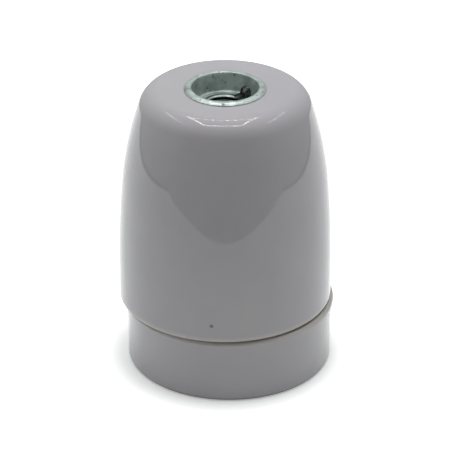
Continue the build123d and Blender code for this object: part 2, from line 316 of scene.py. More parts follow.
def thread(angle, height, start, pitch, turns, root, crest, fade=0.08):
    """Share of a right-handed thread's depth, 0 to 1, at each angle and height.

    The thread's middle climbs one pitch a turn from start at +X. The share falls from 1 to 0 between half
    the crest and half the root away from that middle, with rounded shoulders, and fades out at both ends.
    """
    turned = angle / (2 * np.pi)
    lead = (height - start) / pitch - turned
    nearest = np.round(lead)
    along = nearest + turned
    away = np.abs(lead - nearest) * pitch
    share = np.clip((root / 2 - away) / ((root - crest) / 2), 0, 1)
    share = share * share * (3 - 2 * share)
    return share * np.clip(along / fade, 0, 1) * np.clip((turns - along) / fade, 0, 1)


def surface(name, points, loop_rows=True, loop_columns=True):
    """Mesh of a grid of points, closed along rows or columns where said, with its poles merged."""
    rows, columns = points.shape[:2]
    row = np.arange(rows if loop_rows else rows - 1)[:, None]
    column = np.arange(columns if loop_columns else columns - 1)[None, :]
    next_row = (row + 1) % rows
    next_column = (column + 1) % columns
    corners = [row * columns + column, next_row * columns + column]
    corners += [next_row * columns + next_column, row * columns + next_column]
    faces = np.stack(np.broadcast_arrays(*corners), axis=-1).reshape(-1, 4)
    mesh = bpy.data.meshes.new(name)
    mesh.from_pydata(points.reshape(-1, 3).tolist(), [], faces.tolist())
    shape = bmesh.new()
    shape.from_mesh(mesh)
    bmesh.ops.remove_doubles(shape, verts=shape.verts, dist=1e-7)
    shape.to_mesh(mesh)
    shape.free()
    piece = bpy.data.objects.new(name, mesh)
    bpy.context.scene.collection.objects.link(piece)
    return piece


def lathe(name, outline, around, form=None, offset=0.0, on_axis=False):
    """Outline turned round Z: x = offset + radius cos angle, y = radius sin angle, z = height.

    offset may differ from point to point of the outline. form(angle, radius, height) gives the radius
    anew, as a thread does. on_axis outlines start and end on Z, and others are closed loops.
    """
    angle = np.linspace(0, 2 * np.pi, around, endpoint=False)[:, None]
    radius, height = outline[None, :, 0], outline[None, :, 1]
    radius = radius + 0 * angle
    height = height + 0 * angle
    if form is not None:
        radius = form(angle, radius, height)
    points = np.stack([offset + radius * np.cos(angle), radius * np.sin(angle), height], axis=2)
    return surface(name, points, True, not on_axis)


def rod(name, start, end, radius, flare=0.0):
    """Cylinder between two points, closed by flat ends. Its end may flare, as a countersink does."""
    start, end = Vector(start), Vector(end)
    length = (end - start).length
    corners = [(0, 0), (radius, 0), (radius, length - flare), (radius + flare, length), (0, length)]
    if flare == 0:
        corners = [(0, 0), (radius, 0), (radius, length), (0, length)]
    piece = lathe(name, np.array(corners), rod_columns, on_axis=True)
    turn = Vector((0, 0, 1)).rotation_difference(end - start).to_matrix().to_4x4()
    piece.data.transform(Matrix.Translation(start) @ turn)
    return piece


def slab(name, low, high):
    """Closed block between two corners."""
    mesh = bpy.data.meshes.new(name)
    shape = bmesh.new()
    size = Vector(high) - Vector(low)
    place = Matrix.Translation((Vector(low) + Vector(high)) / 2) @ Matrix.Diagonal((*size, 1))
    bmesh.ops.create_cube(shape, size=1.0, matrix=place)
    shape.to_mesh(mesh)
    shape.free()
    piece = bpy.data.objects.new(name, mesh)
    bpy.context.scene.collection.objects.link(piece)
    return piece


def settle(piece):
    """Apply the piece's modifiers."""
    bpy.context.view_layer.update()
    result = bpy.data.meshes.new_from_object(piece.evaluated_get(bpy.context.evaluated_depsgraph_get()))
    piece.modifiers.clear()
    piece.data = result


def carve(piece, operation, *tools):
    """Cut the tools out of the piece, or fuse them to it, and delete them."""
    for tool in tools:
        change = piece.modifiers.new("carve", "BOOLEAN")
        change.operation = operation
        change.solver = "MANIFOLD"
        change.object = tool
    settle(piece)
    for tool in tools:
        bpy.data.objects.remove(tool)


def softened_copy(node, name, width):
    """Copy of a solid's mesh, merged and freed of flat facets, with its edges rounded by width."""
    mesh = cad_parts[node].data.copy()
    mesh.name = name
    mesh.materials.clear()
    shape = bmesh.new()
    shape.from_mesh(mesh)
    bmesh.ops.remove_doubles(shape, verts=shape.verts, dist=1e-6)
    bmesh.ops.dissolve_limit(
        shape, angle_limit=math.radians(0.5), verts=shape.verts, edges=shape.edges,
        use_dissolve_boundaries=False,
    )
    shape.to_mesh(mesh)
    shape.free()
    piece = bpy.data.objects.new(name, mesh)
    bpy.context.scene.collection.objects.link(piece)
    soft = piece.modifiers.new("edges", "BEVEL")
    soft.width = width
    soft.segments = 3
    soft.limit_method = "ANGLE"
    soft.angle_limit = math.radians(35)
    settle(piece)
    return piece


def finished(piece, material, slot, body, *nodes):
    """Shade the piece, give it its material and its body, and let it stand for its nodes."""
    piece.data.shade_smooth()
    piece.data.set_sharp_from_angle(angle=math.radians(32))
    piece.data.materials.clear()
    piece.data.materials.append(material)
    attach(piece, body)
    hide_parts(*nodes)
    return piece


def mark(piece, name, share):
    """Store a share for each point of the piece, worked out from its radius and height."""
    points = np.zeros(len(piece.data.vertices) * 3)
    piece.data.vertices.foreach_get("co", points)
    points = points.reshape(-1, 3)
    values = share(np.hypot(points[:, 0], points[:, 1]), points[:, 2])
    attribute = piece.data.attributes.new(name, "FLOAT", "POINT")
    attribute.data.foreach_set("value", np.broadcast_to(values, len(points)).astype(np.float32))


# Porcelain


def clay_wave(angle, height):
    """Slight waviness that pressed and fired clay keeps: a sum of three slow waves round and up.

    It is lowered by its own greatest height, so it lies between -4 and 0 and only takes away.
    """
    waves = np.sin(2 * angle + 0.7)
    waves = waves + 0.6 * np.sin(3 * angle + height / 0.011 + 2.1)
    waves = waves + 0.4 * np.sin(5 * angle - height / 0.007)
    return waves - 2.0


def dome_side(inset):
    """Side, belly and shoulder of the bell, moved inwards by inset, from the rim up."""
    end_angle = math.radians(belly_angle + shoulder_angle)
    belly_rise = belly_radius * math.sin(math.radians(belly_angle))
    shoulder_rise = shoulder_radius * (math.sin(end_angle) - math.sin(math.radians(belly_angle)))
    side_top = crown_height - belly_rise - shoulder_rise - crown_round * (1 - math.sin(end_angle))
    radius = dome_radius - inset
    belly = bend((radius, side_top), 90, belly_radius - inset, belly_angle, 24)
    shoulder = bend(belly[-1], 90 + belly_angle, shoulder_radius - inset, shoulder_angle, 22)
    return np.vstack([[[radius, rim_height]], belly, shoulder[1:]])


def dome_outline():
    """Closed outline of the bell: rim, outside, crown, bush hole, ceiling and inside."""
    outside = dome_side(0)
    inside = dome_side(dome_wall)
    heading = 90 + belly_angle + shoulder_angle
    rim = bend((dome_radius - rim_round, rim_height), 0, rim_round, 90, 7)
    crown = bend(outside[-1], heading, crown_round, 180 - heading, 22)
    wall_end = inside[inside[:, 1] < ceiling_height - 1.4 * ceiling_round]
    wall_top = np.interp(ceiling_height, inside[:, 1], inside[:, 0])
    ceiling = rounded(
        [
            (crown[-1][0], crown_height, 0),
            (bush_hole_radius, crown_height, hole_round),
            (bush_hole_radius, ceiling_height, hole_round),
            (wall_top, ceiling_height, ceiling_round),
            (*wall_end[-1], 0),
        ],
        9,
    )
    rim_middle = (dome_radius - rim_round, rim_height, 0)
    inner_rim = rounded([(*inside[1], 0), (*inside[0], rim_round / 2), rim_middle])
    downward = wall_end[:0:-1]
    plain = divided(downward[downward[:, 1] > dome_thread_top], side_step)
    threaded = downward[downward[:, 1] <= dome_thread_top]
    threaded = divided(np.vstack([plain[-1:], threaded, inner_rim]), ridge_step)
    outer = divided(np.vstack([rim, outside[1:], crown[1:]]), side_step)
    return np.vstack([outer, divided(ceiling, ceiling_step)[1:-1], plain[:-1], threaded[:-1]])


def dome_form(angle, radius, height):
    """The bell's inner wall carries a thread ridge that points inwards, and its outside is slightly wavy."""
    inside = (radius > dome_radius - 1.5 * dome_wall) & (radius < dome_radius - 0.7 * dome_wall)
    inside = inside & (height < ceiling_height / 1.5)
    share = thread(angle, height, dome_ridge_start, porcelain_pitch, porcelain_turns, ridge_root, ridge_crest)
    outside = np.clip((radius - 0.014) / 0.004, 0, 1) * ~inside
    wave = clay_wave(angle, height) * dome_wave_depth
    return radius - inside * share * dome_ridge_depth + outside * wave


def make_dome(glaze):
    """Bell with its crown hole, its inner thread and the hole that the lock screw is reached through."""
    piece = lathe("porcelain_dome", dome_outline(), porcelain_columns, dome_form)
    outline = dome_side(0)
    reach = float(np.interp(lock_height, outline[:, 1], outline[:, 0]))
    start = lock_direction * bush_radius + lock_lift
    end = lock_direction * (reach + access_beyond) + lock_lift
    carve(piece, "DIFFERENCE", rod("access", start, end, access_radius, access_flare))

    def bareness(radius, height):
        rim = np.clip((rim_height + bare_rim - height) / bare_fade, 0, 1)
        threads = (radius < dome_radius - 0.6 * dome_wall) & (height < dome_thread_top)
        bore = (radius < bush_hole_radius + 0.0001) & (height > ceiling_height)
        return np.maximum(rim, np.maximum(threads, bore))

    # Thin glaze and a painted highlight: paler just above the rim
    def thin_glaze_and_highlight_share(radius, height):
        return np.clip((rim_height + thin_glaze_and_highlight_reach - height) / (thin_glaze_and_highlight_reach / 2), 0, 1)

    mark(piece, "bare", bareness)
    mark(piece, "thin", thin_glaze_and_highlight_share)
    return finished(piece, glaze, "porcelain", "dome", "dome")


def base_outline():
    """Half outline of the base, from the pocket's floor on the axis out, down, up the band and in again."""
    foot = [(0, pocket_depth, 0), (mouth_radius, pocket_depth, pocket_round), (mouth_radius, 0, mouth_round)]
    foot += [(band_radius, 0, foot_round), (band_radius, flare_start, 0)]
    lip_bottom = band_height - lip_round
    flare_angle = 2 * math.atan2(lip_radius - band_radius, lip_bottom - flare_start)
    flare_radius = (lip_bottom - flare_start) / math.sin(flare_angle)
    flare = bend((band_radius, flare_start), 90, flare_radius, -math.degrees(flare_angle), 12)
    lip = bend((lip_radius, lip_bottom), 90, lip_round, 90, 9)
    barrel = [(lip[-1][0], band_height, 0), (barrel_radius, band_height, ledge_round)]
    barrel += [(barrel_radius, floor_top, barrel_round), (0, floor_top, 0)]
    pocket = divided(rounded(foot, 7), pocket_step)
    return np.vstack([pocket[:-1], flare, lip[1:], divided(rounded(barrel, 6), ridge_step)[1:]])


def base_form(angle, radius, height):
    """The barrel carries the thread ridge, and the band is slightly wavy."""
    barrel = (np.abs(radius - barrel_radius) < 1e-6) & (height > band_height)
    share = thread(angle, height, base_ridge_start, porcelain_pitch, porcelain_turns, ridge_root, ridge_crest)
    band = (radius > barrel_radius + 0.003) & (height > foot_round)
    wave = clay_wave(angle + 1.9, height) * band_wave_depth
    return radius + barrel * share * base_ridge_depth + band * wave


def make_base(glaze):
    """Base ring with its barrel, floor and terminal platform. Its band stands off the barrel's axis."""
    outline = base_outline()
    band = (outline[:, 0] > barrel_radius + 0.002) & (outline[:, 1] < band_height + 1e-6)
    piece = lathe("porcelain_base", outline, porcelain_columns, base_form, band_offset * band, on_axis=True)
    sunk = floor_top - platform_sunk
    top = [(0, sunk, 0), (platform_radius, sunk, 0), (platform_radius, platform_top, platform_round)]
    platform = lathe("platform", rounded(top + [(0, platform_top, 0)], 6), platform_columns, on_axis=True)
    half = bay_width / 2
    bays = [
        slab("bay", (-0.02, -half, floor_top), (live_bay_edge, half, 0.05)),
        slab("bay", (neutral_bay_edge, -half, floor_top), (0.02, half, 0.05)),
    ]
    carve(platform, "DIFFERENCE", *bays)
    carve(piece, "UNION", platform)
    holes = []
    for x in (contact_screw_x, shell_screw_x):
        holes.append(rod("hole", (x, 0, pocket_depth - 0.001), (x, 0, floor_top + 0.001), post_hole_radius))
    for y in (-lug_distance, lug_distance):
        low = (-lug_width / 2 - lug_clearance, y - shell_wall / 2 - lug_clearance, pocket_depth - 0.001)
        high = (lug_width / 2 + lug_clearance, y + shell_wall / 2 + lug_clearance, pocket_depth + 0.0023)
        holes.append(slab("lug_slot", low, high))
    carve(piece, "DIFFERENCE", *holes)

    def bareness(radius, height):
        foot = np.clip((bare_foot - height) / bare_fade, 0, 1)
        barrel = (radius < lip_radius - 0.0022) & (height > band_height - 0.0001)
        return np.maximum(foot, barrel)

    # Thin glaze and a painted highlight: paler towards the lip at the band's top
    def thin_glaze_and_highlight_share(radius, height):
        return np.clip(1 - (band_height - height) / thin_glaze_and_highlight_reach, 0, 1) * (height < band_height + 0.0001)

    # Painted contact shadow: the band's lowest part darkened all round the foot
    def painted_foot_shadow_share(radius, height):
        return np.clip((painted_shadow_height - height) / painted_shadow_fade, 0, 1) * (radius > band_radius - 2 * foot_round)

    mark(piece, "bare", bareness)
    mark(piece, "thin", thin_glaze_and_highlight_share)
    mark(piece, "painted_shade", painted_foot_shadow_share)
    return finished(piece, glaze, "porcelain", "base", "socket_base")


# Entry bush and what is clamped with it


def make_bush(zinc):
    """Flanged bush: cup, chamfer and M10 x 1 thread inside, M16 x 1 thread outside, and painted shade in its
    bore's thread grooves.
    """
    throat = cup_floor - tube_chamfer
    top = rounded(
        [
            (bush_radius, bush_neck, 0),
            (bush_radius, crown_height, 0),
            (flange_radius, crown_height, 0.00008),
            (flange_radius, flange_top - 0.7 * flange_thickness, 0.0001),
            (flange_radius - flange_slope, flange_top, flange_round),
            (cup_radius, flange_top, cup_round),
            (cup_floor_radius, cup_floor, 0.0004),
            (tube_minor_radius + tube_chamfer, cup_floor, 0.0001),
            (tube_minor_radius, throat, 0),
        ],
        6,
    )
    outside = divided([(bush_radius, bush_end), (bush_radius, bush_neck)], bush_step)
    bore = divided([(tube_minor_radius, throat), (tube_minor_radius, bush_end)], bore_step)
    outline = np.vstack([outside, divided(top, flange_step)[1:-1], bore])

    def form(angle, radius, height):
        bored = (radius < tube_minor_radius + tube_chamfer + 0.00006) & (height < cup_floor + 1e-6)
        turned = (np.abs(radius - bush_radius) < 1e-6) & (height < ceiling_height)
        groove = thread(angle, height, fine_start, fine_pitch, fine_turns, fine_root, fine_crest, fine_fade)
        cut = np.where(bored, np.maximum(radius, tube_minor_radius + fine_depth * groove), radius)
        return cut - fine_depth * groove * turned

    piece = lathe("bush_body", outline, bush_columns, form)
    start = lock_direction * lock_hole_start + lock_lift
    end = lock_direction * lock_hole_end + lock_lift
    carve(piece, "DIFFERENCE", rod("hole", start, end, lock_hole_radius))

    # Painted shade: the bore's thread grooves darkened, more the deeper they are
    def painted_shade(radius, height):
        grooves = np.clip(2 * (radius - tube_minor_radius) / fine_depth - 0.3, 0, 1)
        return grooves * (radius < tube_minor_radius + 1.05 * fine_depth) * (height < cup_floor + 1e-5)

    mark(piece, "painted_shade", painted_shade)
    return finished(piece, zinc, "zinc_plate", "dome", "entry_bush")


def make_lock_screw(steel):
    """Slotted grub screw with a cone point, which points at the axis from the back right."""
    radius = lock_screw_radius
    corners = [(0, 0, 0), (radius * 0.34, 0, 0.0002), (radius, radius * 0.62, 0.0001)]
    corners += [(radius, lock_length, 0.00015), (0, lock_length, 0)]
    outline = divided(rounded(corners, 5), lock_step)

    def form(angle, r, height):
        wall = np.abs(r - radius) < 1e-6
        return r - wall * 0.0002 * thread(angle, height, 0.0008, 0.0005, 4.2, 0.0004, 0.0001, 0.2)

    piece = lathe("lock_grub_screw", outline, lock_columns, form, on_axis=True)
    low = (-radius * 1.2, -slot_width / 2, lock_length - slot_depth)
    carve(piece, "DIFFERENCE", slab("slot", low, (radius * 1.2, slot_width / 2, lock_length * 1.2)))
    turn = Vector((0, 0, 1)).rotation_difference(lock_direction).to_matrix().to_4x4()
    piece.data.transform(Matrix.Translation(lock_direction * lock_tip_radius + lock_lift) @ turn)
    return finished(piece, steel, "dark_steel", "lock_screw", "tube_lock_screw")


def make_nut(zinc):
    """Hexagon nut: a hexagon in plan, cut by a 30 degree cone at both ends, with a threaded bore."""
    flats = (nut_high.y - nut_low.y) / 2
    bore = bush_radius + 0.00005
    corner = flats / math.cos(math.pi / 6)
    outline = divided(
        rounded(
            [
                (bore, nut_low.z, 0),
                (flats * 0.97, nut_low.z, 0),
                (corner, nut_low.z, 0),
                (corner, nut_high.z, 0),
                (flats * 0.97, nut_high.z, 0),
                (bore, nut_high.z, 0),
                (bore, nut_low.z, 0),
            ]
        ),
        nut_step,
    )[:-1]

    def form(angle, radius, height):
        sector = (angle + np.pi / 6) % (np.pi / 3) - np.pi / 6
        hexagon = flats / np.cos(sector)
        from_end = np.minimum(height - nut_low.z, nut_high.z - height)
        cone = flats * 0.97 + from_end * math.sqrt(3)
        outer = np.minimum(radius, np.minimum(hexagon, cone))
        bored = radius < bore + 1e-6
        groove = thread(angle, height, bush_end - 0.0005, fine_pitch, 12.0, 0.0008, 0.0001, 0.2)
        return np.where(bored, radius + 0.0003 * groove, outer)

    piece = lathe("bush_hex_nut", outline, nut_columns, form)
    return finished(piece, zinc, "zinc_plate", "dome", "bush_nut")


def make_washer(zinc):
    """Plain punched washer: one side has rolled edges, the other the punch's sharper ones."""
    inner = bush_radius + 0.0002
    outer = washer_high.x
    corners = [
        ((inner + outer) / 2, washer_low.z, 0),
        (outer, washer_low.z, 0.00008),
        (outer, washer_high.z, 0.00025),
        (inner, washer_high.z, 0.0002),
        (inner, washer_low.z, 0.00008),
        ((inner + outer) / 2, washer_low.z, 0),
    ]
    piece = lathe("crown_washer", rounded(corners, 5)[:-1], washer_columns)
    return finished(piece, zinc, "zinc_plate", "washer", "bush_washer")


# Screws and terminals


def make_screw(name, node, body, material, slot, place, seat, size, head, length, up):
    """Slotted cheese-head screw. seat is the height of the head's bearing face, head its radius and height.

    It is drawn with its shank upwards from the seat, and turned over about X if the head is on top.
    """
    radius, pitch, depth = size
    head_radius, head_height = head
    outline = rounded(
        [
            (0, -head_height, 0),
            (head_radius, -head_height, head_height / 4),
            (head_radius, 0, 0.00008),
            (radius, 0, 0),
            (radius, length, radius / 4),
            (0, length, 0),
        ],
        6,
    )
    outline = divided(outline, pitch / 7)

    def form(angle, r, height):
        shank = (np.abs(r - radius) < 1e-6) & (height > 1e-6)
        turns = (length - 0.0003) / pitch
        return r - shank * depth * thread(angle, height, 0.0003, pitch, turns, 0.8 * pitch, 0.15 * pitch, 0.3)

    piece = lathe(name, outline, screw_columns, form, on_axis=True)
    low = (-1.1 * head_radius, -slot_width / 2, -1.2 * head_height)
    high = (1.1 * head_radius, slot_width / 2, slot_depth - head_height)
    carve(piece, "DIFFERENCE", slab("slot", low, high))
    turn = Matrix.Identity(4) if up else Matrix.Rotation(math.pi, 4, "X")
    piece.data.transform(Matrix.Translation((place[0], place[1], seat)) @ turn)
    return finished(piece, material, slot, body, node)


def make_screws(brass, zinc):
    """The two post screws, the two clamp screws and the earth screw, each where its solid is."""
    for node, x in (("contact_screw", contact_screw_x), ("shell_screw", shell_screw_x)):
        low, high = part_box(node)
        seat = low.z + post_head[1]
        make_screw(
            node.replace("screw", "post_screw"), node, "base", brass, "brass",
            (x, 0), seat, post_screw, post_head, high.z - seat, True,
        )
    for side in ("live", "neutral"):
        node = side + "_clamp_screw"
        low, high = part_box(node)
        seat = high.z - clamp_head[1]
        place = ((low.x + high.x) / 2, 0)
        make_screw(
            side + "_terminal_screw", node, side + "_screw", zinc, "zinc_plate",
            place, seat, clamp_screw, clamp_head, seat - low.z, False,
        )
    low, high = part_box("earth_screw")
    seat = low.z + earth_head[1]
    place = (0, (low.y + high.y) / 2)
    make_screw(
        "earth_clamp_screw", "earth_screw", "earth_screw", zinc, "zinc_plate",
        place, seat, post_screw, earth_head, high.z - seat, True,
    )


def make_shell(brass):
    """Drawn shell with a rolled thread, an opening for the strip, a screw hole and two lugs."""
    inner = shell_radius - shell_wall
    top = pocket_depth
    outline = rounded(
        [
            (shell_radius, (shell_foot + top) / 2, 0),
            (shell_radius, top, 0.0009),
            (shell_opening_radius, top, 0.0001),
            (shell_opening_radius, top - shell_wall, 0.0001),
            (inner, top - shell_wall, 0.00055),
            (inner, shell_foot, 0.00012),
            (shell_radius, shell_foot, 0.00012),
            (shell_radius, (shell_foot + top) / 2, 0),
        ],
        6,
    )
    outline = divided(outline, shell_step)[:-1]
    start = shell_foot + (top - shell_foot - shell_pitch * shell_turns) / 2

    def form(angle, radius, height):
        wall = (radius > inner - 1e-6) & (height < top - 0.001) & (height > shell_foot + 0.0003)
        share = thread(angle, height, start, shell_pitch, shell_turns, shell_root, 0.0002, 0.15)
        return radius + wall * shell_thread_depth * share

    piece = lathe("rolled_screw_shell", outline, shell_columns, form)
    for y in (-lug_distance, lug_distance):
        low = (-lug_width / 2, y - shell_wall / 2, top - shell_wall * 0.6)
        high = (lug_width / 2, y + shell_wall / 2, top + lug_height)
        carve(piece, "UNION", slab("lug", low, high))
    hole = rod("hole", (shell_screw_x, 0, top - 0.001), (shell_screw_x, 0, top + 0.001), 0.00155)
    carve(piece, "DIFFERENCE", hole)
    return finished(piece, brass, "brass", "base", "screw_shell")


def make_plain_metal(brass, bronze, zinc):
    """Blocks, plates, tag, square washer and strip: the solids' own forms with worn edges."""
    copies = [
        ("live_terminal", "live_block", 0.00012, brass, "brass", "base"),
        ("neutral_terminal", "neutral_block", 0.00012, brass, "brass", "base"),
        ("live_clamp_plate", "live_pressure_plate", 0.0001, zinc, "zinc_plate", "live_plate"),
        ("neutral_clamp_plate", "neutral_pressure_plate", 0.0001, zinc, "zinc_plate", "neutral_plate"),
        ("earth_tag", "earth_tag_plate", 0.0001, brass, "brass", "dome"),
        ("earth_clamp_washer", "earth_square_washer", 0.0001, zinc, "zinc_plate", "earth_washer"),
        ("centre_contact", "contact_strip", 0.00007, bronze, "bronze", "contact"),
    ]
    for node, name, width, material, slot, body in copies:
        finished(softened_copy(node, name, width), material, slot, body, node)


# Materials


def group(name, inputs, outputs):
    """New shader node group with named inputs and outputs: (name, socket type, default) each."""
    tree = bpy.data.node_groups.new(name, "ShaderNodeTree")
    for socket, kind, value in inputs:
        made = tree.interface.new_socket(name=socket, in_out="INPUT", socket_type=kind)
        made.default_value = value
    for socket, kind in outputs:
        tree.interface.new_socket(name=socket, in_out="OUTPUT", socket_type=kind)
    return tree, tree.nodes.new("NodeGroupInput"), tree.nodes.new("NodeGroupOutput")


def clouds_group():
    """Soft patches: noise on Object coordinates, stretched between two levels to a mask."""
    inputs = [("Scale", "NodeSocketFloat", 300.0), ("Low", "NodeSocketFloat", 0.4)]
    inputs += [("High", "NodeSocketFloat", 0.6), ("Detail", "NodeSocketFloat", 3.0)]
    tree, start, end = group("clouds", inputs, [("Mask", "NodeSocketFloat")])
    place = tree.nodes.new("ShaderNodeTexCoord")
    noise = tree.nodes.new("ShaderNodeTexNoise")
    levels = tree.nodes.new("ShaderNodeMapRange")
    tree.links.new(place.outputs["Object"], noise.inputs["Vector"])
    tree.links.new(start.outputs["Scale"], noise.inputs["Scale"])
    tree.links.new(start.outputs["Detail"], noise.inputs["Detail"])
    tree.links.new(noise.outputs["Fac"], levels.inputs["Value"])
    tree.links.new(start.outputs["Low"], levels.inputs["From Min"])
    tree.links.new(start.outputs["High"], levels.inputs["From Max"])
    tree.links.new(levels.outputs["Result"], end.inputs["Mask"])
    return tree


def specks_group():
    """Small separate spots: the share of each cell of a Voronoi pattern that lies within Size of its point,
    kept only in the cells whose random value is under Share."""
    inputs = [("Scale", "NodeSocketFloat", 400.0), ("Size", "NodeSocketFloat", 0.1)]
    inputs += [("Share", "NodeSocketFloat", 0.1)]
    tree, start, end = group("specks", inputs, [("Mask", "NodeSocketFloat")])
    place = tree.nodes.new("ShaderNodeTexCoord")
    cells = tree.nodes.new("ShaderNodeTexVoronoi")
    near = tree.nodes.new("ShaderNodeMapRange")
    near.inputs["To Min"].default_value = 1.0
    near.inputs["To Max"].default_value = 0.0
    chosen = tree.nodes.new("ShaderNodeSeparateColor")
    kept = tree.nodes.new("ShaderNodeMath")
    kept.operation = "LESS_THAN"
    both = tree.nodes.new("ShaderNodeMath")
    both.operation = "MULTIPLY"
    tree.links.new(place.outputs["Object"], cells.inputs["Vector"])
    tree.links.new(start.outputs["Scale"], cells.inputs["Scale"])
    tree.links.new(cells.outputs["Distance"], near.inputs["Value"])
    tree.links.new(start.outputs["Size"], near.inputs["From Max"])
    tree.links.new(cells.outputs["Color"], chosen.inputs["Color"])
    tree.links.new(chosen.outputs["Red"], kept.inputs[0])
    tree.links.new(start.outputs["Share"], kept.inputs[1])
    tree.links.new(near.outputs["Result"], both.inputs[0])
    tree.links.new(kept.outputs["Value"], both.inputs[1])
    tree.links.new(both.outputs["Value"], end.inputs["Mask"])
    return tree


class Finish:
    """A Principled material under construction, with short words for the nodes that it needs."""

    def __init__(self, name, metallic, roughness):
        self.material = bpy.data.materials.new(name)
        self.material.use_nodes = True
        self.tree = self.material.node_tree
        self.shader = self.tree.nodes["Principled BSDF"]
        self.shader.inputs["Metallic"].default_value = metallic
        self.shader.inputs["Roughness"].default_value = roughness

    def link(self, output, socket):
        self.tree.links.new(output, socket)

    def mask(self, tree, **values):
        """Mask of a shared group, with its inputs set."""
        node = self.tree.nodes.new("ShaderNodeGroup")
        node.node_tree = tree
        for socket, value in values.items():
            node.inputs[socket].default_value = value
        return node.outputs["Mask"]

    def attribute(self, name):
        node = self.tree.nodes.new("ShaderNodeAttribute")
        node.attribute_name = name
        return node.outputs["Fac"]

    def blend(self, share, first, second):
        """Colour that goes from first to second as share goes from 0 to 1."""
        node = self.tree.nodes.new("ShaderNodeMix")
        node.data_type = "RGBA"
        self.link(share, node.inputs["Factor"])
        for socket, value in ((node.inputs[6], first), (node.inputs[7], second)):
            if isinstance(value, tuple):
                socket.default_value = (*value, 1.0)
            else:
                self.link(value, socket)
        return node.outputs[2]

    def scaled(self, value, low, high):
        """Number that goes from low to high as value goes from 0 to 1."""
        node = self.tree.nodes.new("ShaderNodeMapRange")
        self.link(value, node.inputs["Value"])
        node.inputs["To Min"].default_value = low
        node.inputs["To Max"].default_value = high
        return node.outputs["Result"]

    def math(self, operation, first, second):
        node = self.tree.nodes.new("ShaderNodeMath")
        node.operation = operation
        for socket, value in ((node.inputs[0], first), (node.inputs[1], second)):
            if isinstance(value, (int, float)):
                socket.default_value = value
            else:
                self.link(value, socket)
        return node.outputs["Value"]

    def near(self, place, radius):
        """Mask that falls from 1 at a place of the object to 0 at radius from it."""
        coordinates = self.tree.nodes.new("ShaderNodeTexCoord")
        gap = self.tree.nodes.new("ShaderNodeVectorMath")
        gap.operation = "DISTANCE"
        gap.inputs[1].default_value = place
        self.link(coordinates.outputs["Object"], gap.inputs[0])
        share = self.math("MINIMUM", self.math("DIVIDE", gap.outputs["Value"], radius), 1.0)
        return self.scaled(share, 1.0, 0.0)

    def bump(self, height, depth):
        """Relief whose height, in metres, is depth where the mask is 1."""
        node = self.tree.nodes.new("ShaderNodeBump")
        node.inputs["Distance"].default_value = depth
        self.link(height, node.inputs["Height"])
        self.link(node.outputs["Normal"], self.shader.inputs["Normal"])


def porcelain(clouds, specks):
    """Pale grey, faintly lilac glaze with slow patches, a pit and a few pinholes, thin at its edges, where a
    painted highlight also pales it.

    Unglazed places show the clay, and a painted contact shadow runs round the foot.
    """
    finish = Finish("porcelain", 0.0, glaze_roughness)
    finish.shader.inputs["Specular IOR Level"].default_value = 0.38
    bare = finish.attribute("bare")
    patches = finish.mask(clouds, Scale=70.0, Low=0.35, High=0.65, Detail=2.0)
    glaze = finish.blend(patches, dark_glaze, light_glaze)
    pit_place = (
        dome_radius * math.cos(pit_azimuth),
        dome_radius * math.sin(pit_azimuth),
        pit_height,
    )
    pit = finish.near(pit_place, pit_radius)
    pinholes = finish.mask(specks, Scale=230.0, Size=0.035, Share=0.05)
    dark = finish.math("MINIMUM", finish.math("ADD", finish.math("MULTIPLY", pit, 1.6), pinholes), 0.85)
    glaze = finish.blend(dark, glaze, pit_dirt)
    # Thin glaze and a painted highlight: a pale warm colour at the rims
    thin = finish.math("MULTIPLY", finish.attribute("thin"), 0.8)
    glaze = finish.blend(thin, glaze, thin_glaze_and_highlight)
    grain = finish.mask(clouds, Scale=2500.0, Low=0.3, High=0.7, Detail=4.0)
    clay = finish.blend(grain, dark_clay, light_clay)
    # Painted shadow: the band darkened to near black round its foot
    painted_shade = finish.math("MULTIPLY", finish.attribute("painted_shade"), 0.75)
    skin = finish.blend(painted_shade, finish.blend(bare, glaze, clay), painted_foot_shadow)
    finish.link(skin, finish.shader.inputs["Base Color"])
    rough = finish.scaled(bare, glaze_roughness, clay_roughness)
    finish.link(rough, finish.shader.inputs["Roughness"])
    peel = finish.mask(clouds, Scale=420.0, Low=0.2, High=0.8, Detail=1.0)
    relief = finish.math("ADD", finish.math("MULTIPLY", peel, 0.08), finish.math("MULTIPLY", pit, -4.0))
    relief = finish.math("ADD", relief, finish.math("MULTIPLY", finish.math("MULTIPLY", grain, bare), 2.0))
    finish.bump(relief, 0.00001)
    return finish.material


def metal(name, clouds, specks, metallic, dark, light, spot, spots, roughness, relief, nick=None):
    """Plated or plain metal: two tones in patches, fine grain, and tarnish on a share of small spots.

    roughness gives its lowest and highest value, relief is in metres, and painted shade and a placed nick
    darken it.
    """
    finish = Finish(name, metallic, roughness[0])
    patches = finish.mask(clouds, Scale=520.0, Low=0.35, High=0.65, Detail=5.0)
    tone = finish.blend(patches, dark, light)
    tarnish = finish.mask(specks, Scale=1500.0, Size=0.55, Share=spots)
    tone = finish.blend(tarnish, tone, spot)
    # Painted shade from the bore's grooves, together with the real nick, darkens the tone
    worn = finish.attribute("painted_shade")
    if nick is not None:
        worn = finish.math("MAXIMUM", worn, finish.near(nick, nick_radius))
    finish.link(finish.blend(worn, tone, bore_shade_and_nick_colour), finish.shader.inputs["Base Color"])
    rough = finish.mask(clouds, Scale=900.0, Low=0.3, High=0.7, Detail=4.0)
    finish.link(finish.scaled(rough, *roughness), finish.shader.inputs["Roughness"])
    grain = finish.mask(clouds, Scale=2600.0, Low=0.2, High=0.8, Detail=5.0)
    height = finish.math("SUBTRACT", grain, finish.math("MULTIPLY", tarnish, 0.7))
    finish.bump(height, relief)
    return finish.material


# Stage: floor, light tent, lamps and camera


